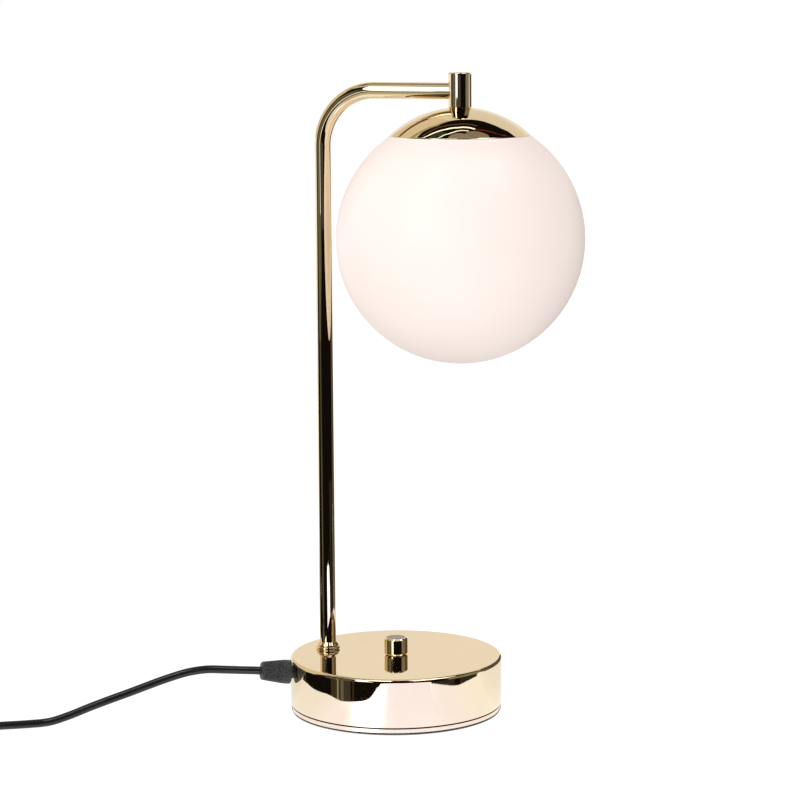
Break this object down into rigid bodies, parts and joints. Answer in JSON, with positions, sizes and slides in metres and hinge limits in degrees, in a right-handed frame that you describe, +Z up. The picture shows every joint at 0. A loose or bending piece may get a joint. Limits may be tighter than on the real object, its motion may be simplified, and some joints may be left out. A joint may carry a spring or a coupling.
{
  "type": "table lamp",
  "caption": "Table lamp: round polished base with a knob dimmer, a bent tube stem and an opal glass globe hung under a spun cap, with a corded plug.",
  "frame": {"origin": "centre of the foot pad's underside, on the surface that the lamp stands on, under the dimmer knob", "axes": "+Z up, +X along the arm from the stem to the globe, +Y across the arm"},
  "size_m": [0.4791, 0.2573, 0.3934],
  "materials": {
    "polished_brass": "polished and lacquered pale gold",
    "plain_brass": "plain turned",
    "zinc_plated_steel": "zinc plated",
    "black_moulding": "matt",
    "cast_weight": "as cast, painted dark grey",
    "foot_rubber": "matt",
    "case_plastic": "matt",
    "pot_can": "plain",
    "board_laminate": "solder mask",
    "choke_winding": "varnished wire",
    "capacitor_film": "dipped film",
    "cord_pvc": "satin black PVC",
    "lead_pvc": "matt PVC",
    "opal_glass": "opal, silk matt outside",
    "holder_ceramic": "unglazed",
    "bulb_cap_metal": "nickel plated",
    "bulb_plastic": "frosted",
    "tie_plastic": "matt",
    "plug_moulding": "fine matt",
    "pin_metal": "nickel plated"
  },
  "bodies": {
    "lamp": {"base_shell": "polished_brass", "base_weight": "cast_weight", "bottom_plate": "polished_brass", "bottom_screws": "zinc_plated_steel", "foot_pad": "foot_rubber", "stem_tube": "polished_brass", "stem_collar": "polished_brass", "stem_washer": "zinc_plated_steel", "stem_nut": "plain_brass", "dimmer_bushing": "plain_brass", "bushing_washer": "zinc_plated_steel", "bushing_nut": "plain_brass", "dimmer_case": "case_plastic", "dimmer_pot": "pot_can", "dimmer_board": "board_laminate", "dimmer_choke": "choke_winding", "dimmer_triac": "black_moulding", "dimmer_capacitor": "capacitor_film", "terminal_block": "case_plastic", "inner_lead": "cord_pvc", "stem_lead": "lead_pvc", "head_connector": "polished_brass", "head_nipple": "plain_brass", "dome_cap": "polished_brass", "cup_spacer": "zinc_plated_steel", "globe_cup": "plain_brass", "holder_cap": "black_moulding", "holder_skirt": "black_moulding", "contact_carrier": "holder_ceramic", "screw_shell": "plain_brass", "centre_contact": "plain_brass", "bulb_cap": "bulb_cap_metal", "bulb_tip": "black_moulding", "bulb_housing": "bulb_plastic", "bulb_dome": "bulb_plastic", "grip_body": "black_moulding", "grip_cap": "black_moulding", "grip_nut": "black_moulding", "cord": "cord_pvc", "cord_coil": "cord_pvc", "cord_tail": "cord_pvc", "coil_tie": "tie_plastic", "plug_body": "plug_moulding", "plug_relief": "plug_moulding", "plug_pins": "pin_metal"},
    "knob": {"dimmer_knob": "polished_brass", "knob_insert": "black_moulding", "dimmer_shaft": "zinc_plated_steel"},
    "globe": {"glass_globe": "opal_glass"}
  },
  "joints": [
    {"name": "dimmer_turn", "type": "hinge", "parent": "lamp", "child": "knob", "pos_m": [0, 0, 0.039], "axis": [0, 0, 1], "range_deg": [-300, 0]},
    {"name": "globe_lower", "type": "slide", "parent": "lamp", "child": "globe", "axis": [0, 0, -1], "range_m": [0, 0.1]}
  ]
}
